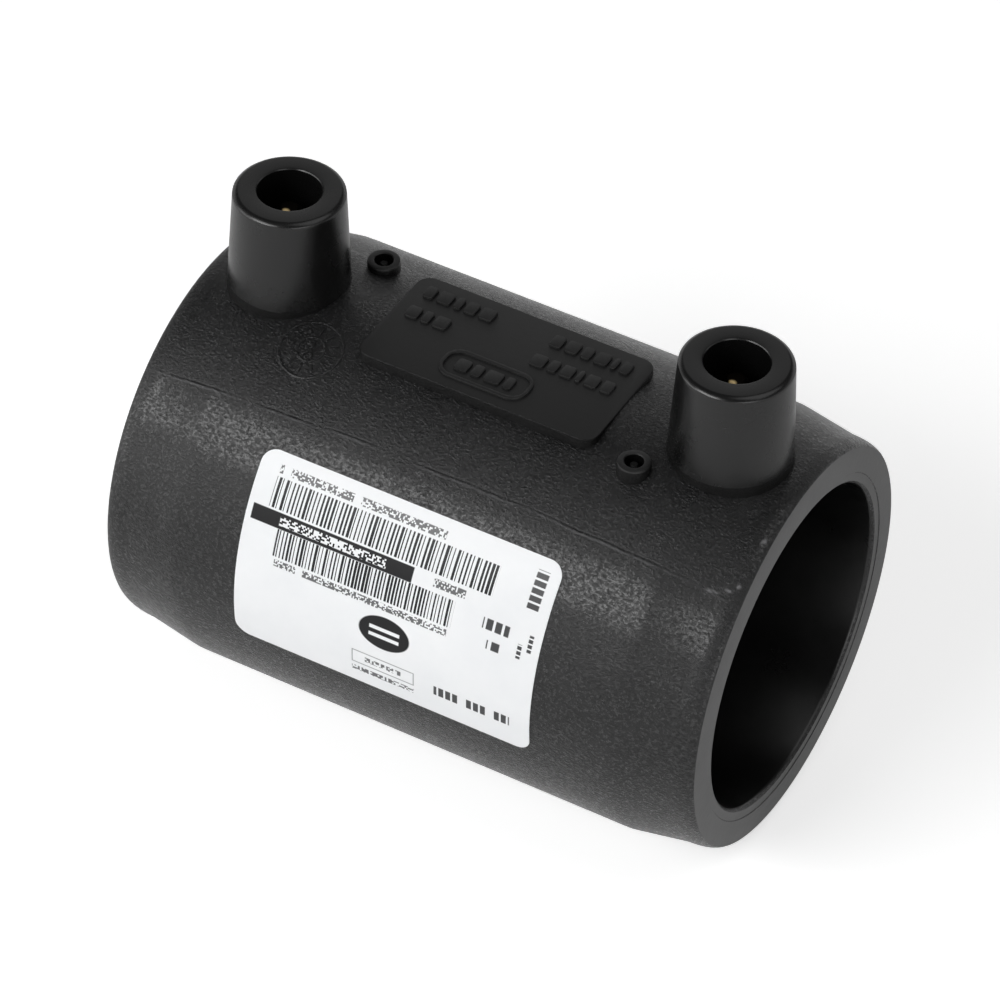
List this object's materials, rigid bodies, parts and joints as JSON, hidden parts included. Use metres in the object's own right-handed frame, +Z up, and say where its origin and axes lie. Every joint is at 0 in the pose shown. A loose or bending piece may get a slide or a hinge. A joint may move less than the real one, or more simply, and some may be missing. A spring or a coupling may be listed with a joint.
{
  "type": "electrofusion coupler",
  "caption": "Pipe coupler welded by its own buried heating wire: a tapered tube with two shrouded terminals, a raised pad, melt indicators and a label.",
  "frame": {"origin": "middle of the bore, on the pipe axis", "axes": "+X along the pipe axis towards the right mouth, +Z up through the terminals, +Y away from the label"},
  "size_m": [0.0984, 0.067, 0.0827],
  "materials": {
    "polyethylene": "fine spark-eroded grain, smooth on the terminals and pad",
    "terminal_brass": "turned",
    "wire_metal": "drawn",
    "label_film": "printed white film"
  },
  "bodies": {
    "root": {"coupler_body": "polyethylene", "terminal_pin_left": "terminal_brass", "terminal_pin_right": "terminal_brass", "heating_wire": "wire_metal", "label": "label_film"}
  },
  "joints": []
}
